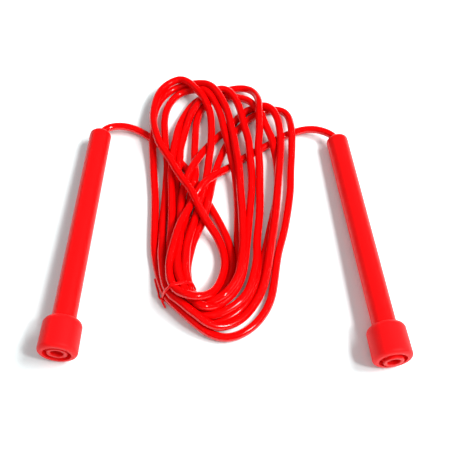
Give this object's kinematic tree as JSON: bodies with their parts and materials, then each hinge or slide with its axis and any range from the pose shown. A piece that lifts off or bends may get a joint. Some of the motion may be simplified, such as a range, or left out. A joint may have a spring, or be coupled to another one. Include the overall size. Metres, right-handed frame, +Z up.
{
  "type": "jump rope",
  "caption": "Jump rope: round flexible rope wound in a loose tied hank, with a slim tubular handle with a rounded nose and a soft end cap on each end.",
  "frame": {"origin": "on the floor under the middle of the two handles", "axes": "+X from the left handle to the right one, +Y from the caps towards the noses, +Z up"},
  "size_m": [0.192, 0.1992, 0.0214],
  "materials": {
    "tube_plastic": "smooth satin-gloss moulded plastic, red",
    "cap_rubber": "soft matte moulded rubber, red",
    "plug_plastic": "smooth moulded plastic, red",
    "rope_pvc": "glossy flexible PVC, red",
    "tie_plastic": "plastic coated twist tie, red",
    "stopper_metal": "crimped, dull",
    "washer_steel": "plain washer",
    "tie_steel": "soft iron wire"
  },
  "bodies": {
    "rope": {"rope_hank": "rope_pvc", "left_rope_lead": "rope_pvc", "right_rope_lead": "rope_pvc", "left_rope_end": "rope_pvc", "right_rope_end": "rope_pvc", "left_rope_stopper": "stopper_metal", "right_rope_stopper": "stopper_metal", "twist_tie_cover": "tie_plastic", "twist_tie_wire": "tie_steel"},
    "left_washer": {"left_stop_washer": "washer_steel"},
    "left_handle": {"left_handle_tube": "tube_plastic", "left_end_cap": "cap_rubber", "left_end_plug": "plug_plastic"},
    "right_washer": {"right_stop_washer": "washer_steel"},
    "right_handle": {"right_handle_tube": "tube_plastic", "right_end_cap": "cap_rubber", "right_end_plug": "plug_plastic"}
  },
  "joints": [
    {"name": "left_handle_slide", "type": "slide", "parent": "rope", "child": "left_washer", "axis": [-0.0419, -0.9987, 0.0303], "range_m": [0, 0.018]},
    {"name": "left_handle_spin", "type": "hinge", "parent": "left_washer", "child": "left_handle", "pos_m": [-0.0793, 0.0744, 0.00643], "axis": [-0.0419, -0.9987, 0.0303], "continuous": true},
    {"name": "right_handle_slide", "type": "slide", "parent": "rope", "child": "right_washer", "axis": [0.1287, -0.9912, 0.0303], "range_m": [0, 0.018]},
    {"name": "right_handle_spin", "type": "hinge", "parent": "right_washer", "child": "right_handle", "pos_m": [0.0667, 0.0737, 0.00643], "axis": [0.1287, -0.9912, 0.0303], "continuous": true}
  ]
}
